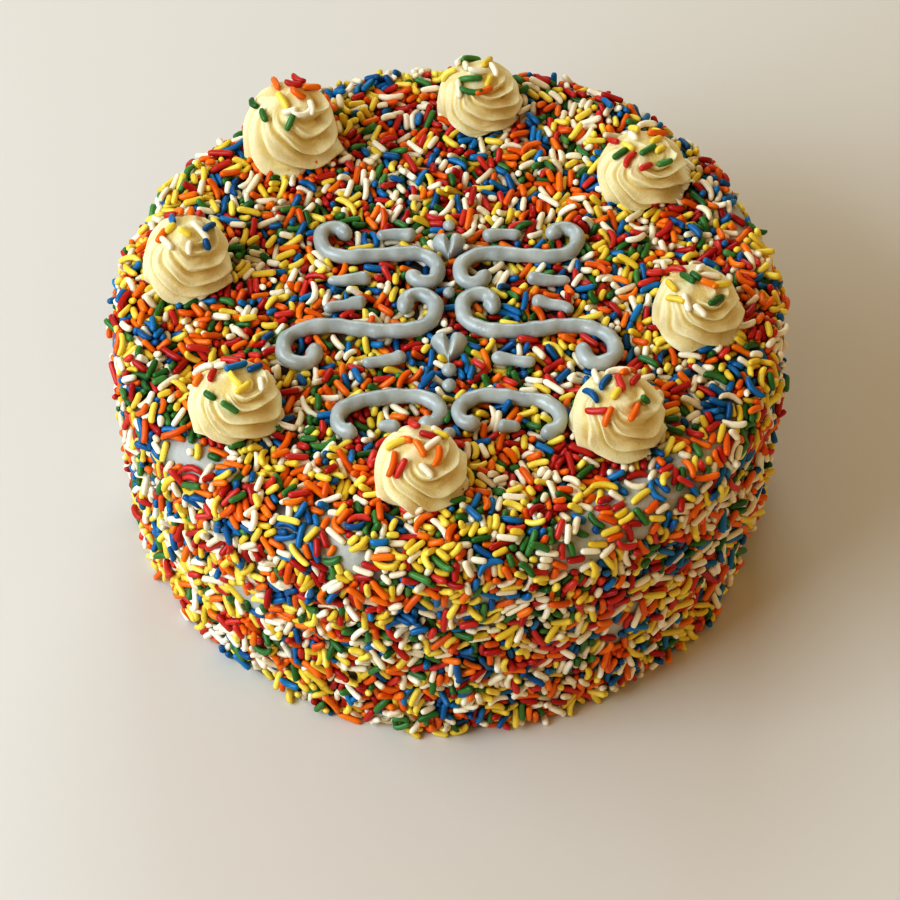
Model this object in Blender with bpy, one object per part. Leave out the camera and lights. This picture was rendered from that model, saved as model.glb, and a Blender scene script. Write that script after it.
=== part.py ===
"""A round birthday cake: one sprinkle-coated cake, a ring of eight piped
buttercream rosettes, and three rows of piped scrollwork on its top.

Metres, +Z up. The origin is the middle of the flat base, on the surface that
the cake stands on. Everything rests on the top of the cake, and nothing moves.
"""

import math
from dataclasses import dataclass

import bmesh
import bpy
import numpy as np

# ---- driving dimensions, in metres and degrees --------------------------------
MM = 0.001

CAKE_RADIUS = 0.105          # outside the sprinkles, an 8 inch cake
CAKE_HEIGHT = 0.092
BASE_RADIUS = 0.102          # the side leans in a little towards the base
RIM_ROUNDING = 0.010
FOOT_ROUNDING = 0.003
CAKE_SIDES = 60

GAP = 0.0003                 # what rests on the cake keeps this clearance

ROSETTE_SIDES = 28
ROSETTE_ROWS = 12
FOOT_TUCK = 20.0             # how far a rosette's side curls under, at its foot
RIDGE_DEPTH = 0.17           # of a rosette's radius, crest to valley
LOBE_DEPTH = 1.2             # how much deeper the crests are at the foot

STROKE_HEIGHT = 0.0040       # of a piped line of icing
STROKE_STEP = 0.0030         # between the sections of a piped line
CURL_POWER = 1.4             # how late a piped line's curvature comes on
END_SIZES = (0.50, 0.92, 1.0)   # of the sections from each end inwards
SECTION_POINTS = 6           # of the domed outline of a piped line
HEART_HEIGHT = 0.0048
HEART_SIDES = 20
HEART_CREASE = 0.45          # how deep the crease between a heart's two drops is

CREAM = (0.86, 0.76, 0.45)
GREY_BLUE = (0.40, 0.44, 0.48)
COAT = (0.62, 0.42, 0.22)


@dataclass(frozen=True)
class Rosette:
    """One swirl of buttercream: where it stands on the cake, and its shape."""

    x: float
    y: float
    width: float
    height: float
    ridges: int              # crests round the foot
    turns: float             # how far the crests wind on their way up
    seam: float              # the side where the crests lie flattest
    phase: float             # makes each swirl its own


ROSETTES = (
    Rosette(-50.1 * MM, 62.8 * MM, 28.7 * MM, 23.6 * MM, 6, 1.8, -10, 0.4),
    Rosette(9.8 * MM, 79.5 * MM, 25.6 * MM, 16.9 * MM, 5, 1.9, 5, 2.1),
    Rosette(61.3 * MM, 47.7 * MM, 27.4 * MM, 15.9 * MM, 6, 1.7, -5, 3.7),
    Rosette(75.5 * MM, -11.0 * MM, 25.0 * MM, 18.5 * MM, 5, 1.8, -10, 5.2),
    Rosette(50.7 * MM, -53.3 * MM, 26.8 * MM, 18.7 * MM, 7, 1.7, -15, 1.3),
    Rosette(-8.3 * MM, -73.3 * MM, 25.9 * MM, 17.6 * MM, 6, 1.7, -12, 4.4),
    Rosette(-63.8 * MM, -46.3 * MM, 26.6 * MM, 16.3 * MM, 6, 1.8, 0, 0.9),
    Rosette(-80.8 * MM, 8.5 * MM, 25.7 * MM, 22.2 * MM, 5, 1.8, -5, 2.8),
)


# ---- materials and scene helpers ----------------------------------------------
def make_material(name, colour, roughness):
    material = bpy.data.materials.new(name)
    material.use_nodes = True
    shader = material.node_tree.nodes["Principled BSDF"]
    shader.inputs["Base Color"].default_value = (*colour, 1.0)
    shader.inputs["Roughness"].default_value = roughness
    shader.inputs["Metallic"].default_value = 0.0
    return material


def make_object(name, mesh, material, collection, parent, place=(0.0, 0.0, 0.0)):
    """A smooth-shaded object of this mesh, parented and put in its place."""
    mesh.shade_smooth()
    mesh.materials.clear()
    mesh.materials.append(material)
    made = bpy.data.objects.new(name, mesh)
    collection.objects.link(made)
    made.parent = parent
    made.location = place
    return made


def mesh_of(bm, name):
    bmesh.ops.recalc_face_normals(bm, faces=bm.faces)
    if bm.calc_volume(signed=True) < 0.0:
        bmesh.ops.reverse_faces(bm, faces=bm.faces)
    mesh = bpy.data.meshes.new(name)
    bm.to_mesh(mesh)
    bm.free()
    return mesh


# ---- the cake ------------------------------------------------------------------
def cake_profile():
    """(radius, height) of the cake's outline, from the middle of the base to the
    middle of the top: foot rounding, leaning side, rim rounding."""
    points = [(0.0, 0.0), (0.5 * BASE_RADIUS, 0.0)]
    for step in range(3):
        turn = math.radians(90.0 * step / 2.0)
        points.append((BASE_RADIUS - FOOT_ROUNDING * (1.0 - math.sin(turn)),
                       FOOT_ROUNDING * (1.0 - math.cos(turn))))
    shoulder = CAKE_HEIGHT - RIM_ROUNDING
    for step in (1, 2):
        up = step / 3.0
        points.append((BASE_RADIUS + (CAKE_RADIUS - BASE_RADIUS) * math.sqrt(up),
                       FOOT_ROUNDING + (shoulder - FOOT_ROUNDING) * up))
    for step in range(5):
        turn = math.radians(90.0 * step / 4.0)
        points.append((CAKE_RADIUS - RIM_ROUNDING * (1.0 - math.cos(turn)),
                       shoulder + RIM_ROUNDING * math.sin(turn)))
    points += [(0.5 * CAKE_RADIUS, CAKE_HEIGHT), (0.0, CAKE_HEIGHT)]
    return points


def side_swell(angle, height):
    """How far the hand-smoothed side stands out of a true cone, in metres."""
    up = height / CAKE_HEIGHT
    swell = 0.55 * math.sin(2.0 * angle + 0.6) + 0.35 * math.sin(3.0 * angle - 1.1)
    swell += 0.45 * math.sin(angle + 0.4) * math.sin(math.pi * up)
    return swell * MM


def make_cake(material, collection, parent):
    """The profile turned about Z, its side then swelled out and in by hand."""
    bm = bmesh.new()
    rail = [bm.verts.new((radius, 0.0, height)) for radius, height in cake_profile()]
    edges = [bm.edges.new(pair) for pair in zip(rail, rail[1:])]
    bmesh.ops.spin(bm, geom=rail + edges, cent=(0, 0, 0), axis=(0, 0, 1),
                   angle=math.tau, steps=CAKE_SIDES, use_duplicate=False)
    bmesh.ops.remove_doubles(bm, verts=bm.verts, dist=0.01 * MM)
    for vert in bm.verts:
        out = math.hypot(vert.co.x, vert.co.y)
        if out < 0.6 * CAKE_RADIUS:
            continue
        angle = math.atan2(vert.co.y, vert.co.x)
        stretch = 1.0 + side_swell(angle, vert.co.z) / out
        vert.co.x *= stretch
        vert.co.y *= stretch
    return make_object("cake", mesh_of(bm, "cake"), material, collection, parent)


# ---- the rosettes --------------------------------------------------------------
def swirl_waves(rosette, angle, up, draw):
    """Slow waves over the swirl, about 1 high: whole numbers of them round it, so
    that they close, each with its own tilt and start."""
    total = 0.0
    for count in (1, 2, 3, 4, 5, 7):
        start = rosette.phase * (count + 2.0) ** 2 + 1.9 * draw * count
        tilt = 9.0 * math.sin(2.3 * rosette.phase + 1.7 * count + draw)
        total += math.sin(count * angle + tilt * up + start) / math.sqrt(count)
    return 0.7 * total


def swirl_point(rosette, angle, up):
    """A point of the swirl's skin: angle runs round it, and up from 0 at the
    foot to 1 at the peak.

    The body is a dome tucked in at its foot. Crests stand out along lines of equal
    phase, which wind down it: steeply on the side away from the seam, and nearly
    level on the seam's side, where they lie one on another as fins. At the foot
    they spread into lobes, and over the crown they give way to three broad folds.
    """
    radius = rosette.width / 2.0
    tuck = math.radians(FOOT_TUCK)
    from_seam = angle - math.radians(rosette.seam)
    seam_side = (0.5 + 0.5 * math.cos(from_seam)) ** 1.5
    rise = -tuck + (math.pi / 2.0 + tuck) * up
    out = radius * max(math.cos(rise), 0.0) ** 0.62
    body = 0.90 * rosette.height
    z = body * (math.sin(rise) + math.sin(tuck)) / (1.0 + math.sin(tuck))
    phase = rosette.ridges * (angle - 0.50 * math.sin(from_seam))
    phase += math.tau * rosette.turns * up ** 0.9 * (1.0 + 0.72 * math.cos(from_seam))
    phase += 0.50 * swirl_waves(rosette, angle, up, 0)
    broad = (0.5 + 0.5 * math.cos(phase - 0.45 * math.sin(phase) + 0.55 * math.cos(phase))) ** 0.8
    fin = (1.0 - math.acos(0.985 * math.cos(phase + 0.35 * math.cos(phase))) / math.pi) ** 1.3
    crest = broad + (fin - broad) * seam_side
    depth = 0.65 + 0.75 * seam_side
    depth += LOBE_DEPTH * (1.0 - up) ** 5 * (1.0 + 0.5 * swirl_waves(rosette, angle, up, 3))
    fold = 0.5 + 0.5 * math.cos(3.0 * angle - 5.0 * up + rosette.phase)
    crown = min(max((up - 0.58) / 0.24, 0.0), 1.0)
    crest += (fold ** 1.5 - crest) * crown
    depth += (0.75 - depth) * crown
    relief = RIDGE_DEPTH * radius * (crest - 0.55) * depth * (out / radius) ** 0.7
    nib = math.exp(-((out / (0.16 * radius)) ** 1.5))
    out = max(out + relief * math.cos(rise), 0.0)
    z = max(z + 0.8 * relief * math.sin(rise), 0.0) + 0.07 * rosette.height * nib
    lean = radius * 0.14 * (z / rosette.height) ** 3
    way = 1.7 * rosette.phase
    return (out * math.cos(angle) + lean * math.cos(way),
            out * math.sin(angle) + lean * math.sin(way), z)


def make_rosette(number, rosette, material, collection, parent):
    """A sphere whose bottom row is the flat foot, and whose other rows are
    carried to the swirl's skin."""
    bm = bmesh.new()
    rows = ROSETTE_ROWS + 1
    bmesh.ops.create_uvsphere(bm, u_segments=ROSETTE_SIDES, v_segments=rows, radius=1.0)
    for vert in bm.verts:
        latitude = math.asin(max(-1.0, min(1.0, vert.co.z)))
        row = round((latitude / math.pi + 0.5) * rows)
        angle = math.atan2(vert.co.y, vert.co.x)
        if row == 0:
            vert.co = (0.0, 0.0, 0.0)
        elif row == 1:
            x, y, _ = swirl_point(rosette, angle, 0.0)
            vert.co = (x, y, 0.0)
        else:
            vert.co = swirl_point(rosette, angle, (row - 1) / (rows - 1))
    place = (rosette.x, rosette.y, CAKE_HEIGHT + GAP)
    name = f"rosette_{number}"
    return make_object(name, mesh_of(bm, name), material, collection, parent, place)


# ---- the piped scrollwork ------------------------------------------------------
@dataclass(frozen=True)
class Stroke:
    """A piped line of icing, as one of a mirrored pair: the right-hand one."""

    name: str
    middle: tuple            # of the line, on the cake's top
    turn: float              # its heading at the middle, anticlockwise from +X
    length: float
    first_curl: float        # turns that the first half winds through
    last_curl: float         # and the second half; with the other sign, an S
    width: float
    tail: float = 1.0        # how thin the last end is, as a share of the width


STROKES = (
    Stroke("scroll_upper", (21.8 * MM, 14.9 * MM), -8, 71.5 * MM, -0.84, 0.84, 4.7 * MM),
    Stroke("scroll_middle", (27.2 * MM, -15.2 * MM), 9, 92.5 * MM, 0.92, -0.92, 4.9 * MM),
    Stroke("scroll_lower", (18.6 * MM, -42.2 * MM), 173, 55.5 * MM, 0.58, 0.66, 4.7 * MM),
    Stroke("comma_upper_high", (16.6 * MM, 23.5 * MM), 4, 12.4 * MM, -0.05, -0.12, 4.6 * MM, 0.62),
    Stroke("comma_upper_low", (30.8 * MM, 4.4 * MM), -8, 13.4 * MM, 0.05, 0.14, 4.4 * MM, 0.62),
    Stroke("comma_middle_high", (32.0 * MM, -5.4 * MM), -12, 13.4 * MM, -0.06, -0.16, 4.6 * MM, 0.62),
    Stroke("comma_middle_low", (19.6 * MM, -27.9 * MM), -8, 13.4 * MM, 0.14, 0.05, 4.6 * MM, 0.62),
    Stroke("comma_lower", (17.9 * MM, -53.4 * MM), -4, 6.8 * MM, 0.04, 0.10, 4.2 * MM, 0.7),
)
HEARTS = {"heart_upper": (19.2 * MM, 10.6 * MM), "heart_middle": (-21.6 * MM, 11.5 * MM)}
PEARLS = ((27.6 * MM, 3.9 * MM), (-0.4 * MM, 3.9 * MM), (-31.4 * MM, 4.6 * MM),
          (-37.4 * MM, 4.4 * MM), (-55.8 * MM, 4.0 * MM))


def stroke_path(stroke):
    """Points of the line on the cake's top. Its curvature is nought at the middle
    and grows towards each end as a power of the distance, so both ends curl up."""
    count = 2 * math.ceil(stroke.length / STROKE_STEP / 2.0) + 1
    step = stroke.length / (count - 1)
    run = np.linspace(-1.0, 1.0, count)
    curl = np.where(run < 0.0, stroke.first_curl, stroke.last_curl) * math.tau
    curvature = curl * (CURL_POWER + 1.0) / (0.5 * stroke.length) * np.abs(run) ** CURL_POWER
    heading = np.concatenate([[0.0], np.cumsum(0.5 * (curvature[1:] + curvature[:-1]) * step)])
    heading += math.radians(stroke.turn) - heading[count // 2]
    along = 0.5 * (heading[1:] + heading[:-1])
    steps = step * np.stack([np.cos(along), np.sin(along)], axis=1)
    path = np.concatenate([[[0.0, 0.0]], np.cumsum(steps, axis=0)])
    return path - path[count // 2] + np.array(stroke.middle)


def make_section(width, guides):
    """The outline across a piped line, as a guide: flat below and domed above."""
    curve = bpy.data.curves.new("section", "CURVE")
    curve.dimensions = "2D"
    spline = curve.splines.new("POLY")
    spline.points.add(SECTION_POINTS - 1)
    spline.use_cyclic_u = True
    for i, point in enumerate(spline.points):
        angle = math.pi * i / (SECTION_POINTS - 1)
        point.co = (-0.5 * width * math.cos(angle), STROKE_HEIGHT * math.sin(angle), 0.0, 1.0)
    section = bpy.data.objects.new("section", curve)
    section.hide_render = True
    section.display_type = "WIRE"
    guides.objects.link(section)
    return section


def make_stroke(name, stroke, side, section, material, collection, parent):
    """The section carried along the line, and drawn in to a round end at both ends.

    Args:
        side: 1 for the right-hand line of the pair, and -1 for its mirror image.
    """
    path = stroke_path(stroke)[::side]
    to_end = np.minimum(np.arange(len(path)), np.arange(len(path))[::-1])
    size = np.array(END_SIZES)[np.minimum(to_end, len(END_SIZES) - 1)]
    size *= np.linspace(1.0, stroke.tail, len(path))
    curve = bpy.data.curves.new(name, "CURVE")
    curve.dimensions = "3D"
    curve.twist_mode = "Z_UP"
    curve.bevel_mode = "OBJECT"
    curve.bevel_object = section
    curve.use_fill_caps = True
    spline = curve.splines.new("POLY")
    spline.points.add(len(path) - 1)
    for point, (x, y), scale in zip(spline.points, path, size):
        point.co = (side * x, y, 0.0, 1.0)
        point.radius = scale
    curve.materials.append(material)
    made = bpy.data.objects.new(name, curve)
    collection.objects.link(made)
    made.parent = parent
    made.location = (0.0, 0.0, CAKE_HEIGHT + GAP)


def make_heart(name, y, width, material, collection, parent):
    """A piped heart: the rows of a sphere spread to a heart's outline, the lower
    half pressed flat, and the upper one creased down its middle into two drops."""
    bm = bmesh.new()
    bmesh.ops.create_uvsphere(bm, u_segments=HEART_SIDES, v_segments=8, radius=1.0)
    for vert in bm.verts:
        angle = math.atan2(vert.co.y, vert.co.x)
        spread = width / 32.0 * math.hypot(vert.co.x, vert.co.y)
        across = 16.0 * math.sin(angle) ** 3
        along = 13.0 * math.cos(angle) - 5.0 * math.cos(2.0 * angle)
        along -= 2.0 * math.cos(3.0 * angle) + math.cos(4.0 * angle)
        full = HEART_HEIGHT * max(1.0 - math.hypot(vert.co.x, vert.co.y) ** 3, 0.0) ** 0.45
        crease = 1.0 - HEART_CREASE * math.exp(-((spread * across / (0.1 * width)) ** 2))
        dome = full * crease if vert.co.z > 0.0 else 0.0
        vert.co = (spread * across, spread * along, dome)
    make_object(name, mesh_of(bm, name), material, collection, parent,
                (0.0, y, CAKE_HEIGHT + GAP))


def make_pearl(name, y, width, material, collection, parent):
    """A dot of icing: a ball whose lower part is pressed flat."""
    bm = bmesh.new()
    bmesh.ops.create_uvsphere(bm, u_segments=10, v_segments=6, radius=1.0)
    for vert in bm.verts:
        height = 0.75 * width * max(vert.co.z + 0.5, 0.0) / 1.5
        vert.co = (0.5 * width * vert.co.x, 0.5 * width * vert.co.y, height)
    make_object(name, mesh_of(bm, name), material, collection, parent,
                (0.0, y, CAKE_HEIGHT + GAP))


def make_scrollwork(material, collection, guides, parent):
    """Mirrored scrolls and commas in three rows, with hearts and pearls between."""
    for stroke in STROKES:
        section = make_section(stroke.width, guides)
        for side, word in ((1, "right"), (-1, "left")):
            make_stroke(f"{stroke.name}_{word}", stroke, side, section,
                        material, collection, parent)
    for name, (y, width) in HEARTS.items():
        make_heart(name, y, width, material, collection, parent)
    for number, (y, width) in enumerate(PEARLS, start=1):
        make_pearl(f"pearl_{number}", y, width, material, collection, parent)


# ---- the whole -----------------------------------------------------------------
def main():
    for old in list(bpy.data.objects):
        bpy.data.objects.remove(old)
    collection = bpy.data.collections.new("birthday_cake")
    bpy.context.scene.collection.children.link(collection)
    guides = bpy.data.collections.new("guides")
    bpy.context.scene.collection.children.link(guides)
    base = bpy.data.objects.new("base", None)
    collection.objects.link(base)
    buttercream = make_material("buttercream", CREAM, 0.45)
    piping = make_material("piping", GREY_BLUE, 0.35)
    coat = make_material("sprinkle_coat", COAT, 0.4)
    make_cake(coat, collection, base)
    for number, rosette in enumerate(ROSETTES, start=1):
        make_rosette(number, rosette, buttercream, collection, base)
    make_scrollwork(piping, collection, guides, base)


main()
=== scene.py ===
"""The looks of a round birthday cake: frosting, a settled coat of sugar sprinkles,
eight piped buttercream rosettes with sprinkles on them, and piped scrollwork.

Every surface is a function of two parameters worked out with numpy. Places come
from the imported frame, and those of the piped lines are the CAD model's own figures.
Metres, +Z up, origin at the middle of the base.
"""

import itertools
import logging
import math
from dataclasses import dataclass
from enum import Enum

import bpy
import numpy as np
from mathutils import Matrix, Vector
from mathutils.bvhtree import BVHTree


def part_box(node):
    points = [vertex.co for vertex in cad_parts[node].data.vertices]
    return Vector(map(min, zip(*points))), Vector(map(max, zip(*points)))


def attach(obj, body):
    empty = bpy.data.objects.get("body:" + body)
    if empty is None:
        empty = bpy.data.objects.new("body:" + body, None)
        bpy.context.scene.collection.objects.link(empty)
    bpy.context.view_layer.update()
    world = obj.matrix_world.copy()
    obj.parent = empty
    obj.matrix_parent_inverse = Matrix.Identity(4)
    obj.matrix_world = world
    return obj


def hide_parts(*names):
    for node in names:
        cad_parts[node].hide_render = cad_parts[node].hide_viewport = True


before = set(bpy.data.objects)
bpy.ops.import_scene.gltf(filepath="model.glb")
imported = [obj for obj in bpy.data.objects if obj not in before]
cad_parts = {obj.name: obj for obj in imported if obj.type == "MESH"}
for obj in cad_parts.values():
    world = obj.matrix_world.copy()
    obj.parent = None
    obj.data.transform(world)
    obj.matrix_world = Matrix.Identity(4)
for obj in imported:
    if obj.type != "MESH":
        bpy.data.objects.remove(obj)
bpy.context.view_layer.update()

Array = np.ndarray
Material = bpy.types.Material
Piece = bpy.types.Object

LOG = logging.getLogger("birthday_cake")
MM = 0.001
TAU = math.tau


# ---- meshes ---------------------------------------------------------------------
def shell_faces(rings: int, sides: int) -> tuple[Array, Array]:
    """Faces of a closed body: a pole, rings of points round it, and a pole.

    Point 0 is the first pole, then each ring's points in turn, then the last pole.

    Args:
        rings: how many rings lie between the poles.
        sides: points in each ring.

    Returns:
        Triangles round the poles, and quads between the rings, as point numbers.
    """
    ring = 1 + np.arange(rings)[:, None] * sides + np.arange(sides)[None, :]
    ahead = np.roll(ring, -1, axis=1)
    last = 1 + rings * sides
    first_fan = np.stack([np.zeros(sides, int), ahead[0], ring[0]], axis=1)
    last_fan = np.stack([np.full(sides, last), ring[-1], ahead[-1]], axis=1)
    quads = np.stack([ring[:-1], ahead[:-1], ahead[1:], ring[1:]], axis=-1)
    return np.concatenate([first_fan, last_fan]), quads.reshape(-1, 4)


def make_piece(
    name: str,
    points: Array,
    triangles: Array,
    quads: Array,
    values: dict[str, Array] | None = None,
) -> Piece:
    """A smooth-shaded object at the origin, its place in its mesh.

    Args:
        name: the piece's name.
        points: one row for each point, in metres.
        triangles: rows of three point numbers.
        quads: rows of four point numbers.
        values: numbers kept on the points, by attribute name.

    Returns:
        The object, in the scene.
    """
    mesh = bpy.data.meshes.new(name)
    corners = np.concatenate([triangles.ravel(), quads.ravel()]).astype(np.int32)
    starts = np.concatenate(
        [3 * np.arange(len(triangles)), 3 * len(triangles) + 4 * np.arange(len(quads))]
    )
    mesh.vertices.add(len(points))
    mesh.vertices.foreach_set("co", points.astype(np.float32).ravel())
    mesh.loops.add(len(corners))
    mesh.loops.foreach_set("vertex_index", corners)
    mesh.polygons.add(len(starts))
    mesh.polygons.foreach_set("loop_start", starts.astype(np.int32))
    mesh.update(calc_edges=True)
    mesh.shade_smooth()
    for label, numbers in (values or {}).items():
        layer = mesh.attributes.new(label, "FLOAT", "POINT")
        layer.data.foreach_set("value", numbers.astype(np.float32))
    piece = bpy.data.objects.new(name, mesh)
    bpy.context.scene.collection.objects.link(piece)
    return piece


def finish_piece(
    piece: Piece, material: Material, slot: str, *nodes: str
) -> None:
    """Dresses a piece, lets it ride on the cake, and hides the CAD nodes that it replaces.

    Args:
        piece: the object.
        material: its finish.
        slot: not used.
        nodes: the CAD nodes that the piece replaces.
    """
    piece.data.materials.append(material)
    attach(piece, "root")
    if nodes:
        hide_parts(*nodes)
    LOG.info("%s: %d points", piece.name, len(piece.data.vertices))


@dataclass(frozen=True)
class Shell:
    """A closed body: a pole, rings of points round it, and a pole."""

    rings: Array                # by ring, by side and by axis
    first: Array
    last: Array

    @property
    def points(self) -> Array:
        """Its points, in the order that shell_faces numbers them."""
        return np.concatenate([self.first[None], self.rings.reshape(-1, 3), self.last[None]])

    @property
    def faces(self) -> tuple[Array, Array]:
        """Triangles round the poles, and quads between the rings."""
        return shell_faces(*self.rings.shape[:2])

    def piece(
        self, name: str, material: Material, slot: str, node: str, **values: Array
    ) -> Piece:
        """The body as a dressed piece.

        Args:
            name: the piece's name.
            material: its finish.
            slot: the name of its material slot.
            node: the CAD node that it replaces.
            values: numbers kept on the points, by attribute name.

        Returns:
            The object, in the scene.
        """
        made = make_piece(name, self.points, *self.faces, values)
        finish_piece(made, material, slot, node)
        return made


def unit(vectors: Array) -> Array:
    """Each row at length 1."""
    return vectors / np.maximum(np.linalg.norm(vectors, axis=-1, keepdims=True), 1e-12)


def around(count: int) -> Array:
    """This many even angles round a circle."""
    return np.arange(count) / count * TAU


# ---- shader graphs ---------------------------------------------------------------
MIX_FACTOR, MIX_FIRST, MIX_SECOND = 0, 6, 7     # a Mix node's sockets for colours
MIX_COLOUR = 2                                  # and its output


class Wire:
    """A node's output, on which Python's operators add Math nodes."""

    def __init__(self, graph: "Graph", socket: bpy.types.NodeSocket) -> None:
        """Wraps a socket of this graph."""
        self.graph = graph
        self.socket = socket

    def __add__(self, other: "Wire | float") -> "Wire":
        """self + other."""
        return self.graph.math("ADD", self, other)

    def __sub__(self, other: "Wire | float") -> "Wire":
        """self - other."""
        return self.graph.math("SUBTRACT", self, other)

    def __mul__(self, other: "Wire | float") -> "Wire":
        """self * other."""
        return self.graph.math("MULTIPLY", self, other)

    __radd__ = __add__
    __rmul__ = __mul__


class Graph:
    """The node tree of one material, with its Principled shader."""

    def __init__(self, name: str) -> None:
        """Starts a material of this name."""
        self.material = bpy.data.materials.new(name)
        self.material.use_nodes = True
        self.tree = self.material.node_tree
        self.shader = self.tree.nodes["Principled BSDF"]

    def put(self, socket: bpy.types.NodeSocket, value: "Wire | float | tuple") -> None:
        """Links a wire to a socket, or sets the socket's own value."""
        if isinstance(value, Wire):
            self.tree.links.new(value.socket, socket)
        else:
            socket.default_value = value

    def node(
        self, kind: str, inputs: dict, output: int | str = 0, **settings: object
    ) -> Wire:
        """Adds a node, its settings first and its inputs after.

        Args:
            kind: the node's type.
            inputs: values or wires, by socket name or number.
            output: which of its outputs to return.
            settings: its own properties.

        Returns:
            The chosen output.
        """
        made = self.tree.nodes.new(kind)
        for key, value in settings.items():
            setattr(made, key, value)
        for key, value in inputs.items():
            self.put(made.inputs[key], value)
        return Wire(self, made.outputs[output])

    def math(self, operation: str, *values: "Wire | float") -> Wire:
        """A Math node of these values."""
        return self.node("ShaderNodeMath", dict(enumerate(values)), operation=operation)

    def noise(self, scale: float, detail: float = 2.0, rough: float = 0.5) -> Wire:
        """Noise from 0 to 1, on Object coordinates.

        Args:
            scale: lumps in a metre.
            detail: octaves.
            rough: how strong the finer octaves are.

        Returns:
            The noise's value.
        """
        place = self.node("ShaderNodeTexCoord", {}, "Object")
        inputs = {"Vector": place, "Scale": scale, "Detail": detail, "Roughness": rough}
        return self.node("ShaderNodeTexNoise", inputs)

    def value(self, name: str) -> Wire:
        """A number kept on the piece's points."""
        return self.node("ShaderNodeAttribute", {}, "Fac", attribute_name=name)

    def ramp(self, factor: Wire, low: float, high: float) -> Wire:
        """0 where the factor is at or under low, and 1 at or over high."""
        inputs = {"Value": factor, "From Min": low, "From Max": high}
        return self.node("ShaderNodeMapRange", inputs, clamp=True)

    def mix(self, factor: Wire, first: "tuple | Wire", second: "tuple | Wire") -> Wire:
        """A colour between two others: the first where the factor is 0."""
        inputs = {MIX_FACTOR: factor, MIX_FIRST: first, MIX_SECOND: second}
        return self.node("ShaderNodeMix", inputs, MIX_COLOUR, data_type="RGBA")

    def bump(self, height: Wire, distance: float) -> None:
        """Feeds the shader's normal from a height of this many metres."""
        normal = self.node("ShaderNodeBump", {"Height": height, "Distance": distance})
        self.put(self.shader.inputs["Normal"], normal)

    def dress(self, **inputs: "Wire | float | tuple") -> None:
        """Sets the shader's sockets, named with _ for a space."""
        for name, value in inputs.items():
            self.put(self.shader.inputs[name.replace("_", " ")], value)


def rgb(red: float, green: float, blue: float) -> tuple[float, float, float, float]:
    """A linear colour with full alpha."""
    return (red, green, blue, 1.0)


class SugarColour(Enum):
    """The six colours of sprinkle: share of the mix, and two shades of the colour."""

    WHITE = (0.260, rgb(0.86, 0.76, 0.55), rgb(0.98, 0.92, 0.76))
    YELLOW = (0.205, rgb(0.80, 0.57, 0.050), rgb(0.96, 0.79, 0.14))
    ORANGE = (0.170, rgb(0.74, 0.115, 0.002), rgb(0.92, 0.24, 0.008))
    RED = (0.150, rgb(0.40, 0.007, 0.004), rgb(0.68, 0.055, 0.036))
    GREEN = (0.105, rgb(0.022, 0.120, 0.020), rgb(0.085, 0.270, 0.065))
    BLUE = (0.120, rgb(0.003, 0.090, 0.26), rgb(0.014, 0.220, 0.50))

    def __init__(self, share: float, dark: tuple, light: tuple) -> None:
        """Names a colour's three values."""
        self.share, self.dark, self.light = share, dark, light


class Sugar(Graph):
    """The waxy, faintly mottled shell of one colour of sprinkle."""

    def __init__(self, colour: SugarColour) -> None:
        """Each sprinkle has its own shade, mottled by fine noise."""
        super().__init__(f"sugar_{colour.name.lower()}")
        mottle = self.noise(900.0, 3.0, 0.6)
        shade = self.ramp(self.value("shade") + 0.5 * (mottle - 0.5), 0.0, 1.0)
        self.dress(
            Base_Color=self.mix(shade, colour.dark, colour.light),
            Roughness=0.28 + 0.20 * mottle,
            Specular_IOR_Level=0.46,
        )
        self.bump(self.noise(1600.0, 2.0), 0.00006)


class Frosting(Graph):
    """The off-white frosting that holds the sprinkles."""

    def __init__(self) -> None:
        """Pale where few sprinkles stuck, and painted dark where they lie thick, as the shade in
        the gaps between them, less dark in broad streaks; with knife marks and small pits."""
        super().__init__("white_frosting")
        tone = self.noise(120.0, 3.0)
        pits = self.noise(500.0, 4.0, 0.6)
        white = self.mix(tone, rgb(0.42, 0.42, 0.38), rgb(0.54, 0.54, 0.50))
        # painted shade: where sprinkles lie thick the frosting is coloured near black, as the
        # shadow in the gaps between them; broad streaks make it less dark, and it turns white
        # where they are few
        streak = self.ramp(self.noise(42.0, 2.0), 0.52, 0.68)
        gap_shade = self.mix(streak, rgb(0.05, 0.03, 0.018), rgb(0.25, 0.22, 0.17))
        bare = self.ramp(self.value("bare"), 0.04, 0.28)
        self.dress(
            Base_Color=self.mix(bare, gap_shade, white),
            Roughness=0.50 + 0.15 * pits,
            Specular_IOR_Level=0.4,
        )
        self.bump(pits, 0.0004)


class Buttercream(Graph):
    """Pale yellow buttercream, a little translucent, with painted shade that makes it deeper in
    its grooves.
    """

    def __init__(self) -> None:
        """The grooves are painted darker and yellower, as shade, and the skin has fine pits and
        drag marks.
        """
        super().__init__("buttercream")
        crest = self.value("crest")
        mottle = self.noise(260.0, 3.0)
        # painted shade: away from the crests the cream is coloured darker and yellower, as the
        # shade in its grooves
        depth = self.ramp(crest + 0.35 * (mottle - 0.5), 0.0, 0.8)
        grain = self.noise(1500.0, 3.0, 0.6)
        self.dress(
            Base_Color=self.mix(depth, rgb(0.80, 0.65, 0.285), rgb(0.86, 0.765, 0.48)),
            Roughness=0.42 + 0.16 * grain,
            Specular_IOR_Level=0.45,
            Subsurface_Weight=0.35,
            Subsurface_Radius=(0.0030, 0.0024, 0.0012),
            Subsurface_Scale=1.0,
        )
        self.bump(grain + 1.6 * mottle, 0.00022)


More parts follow.
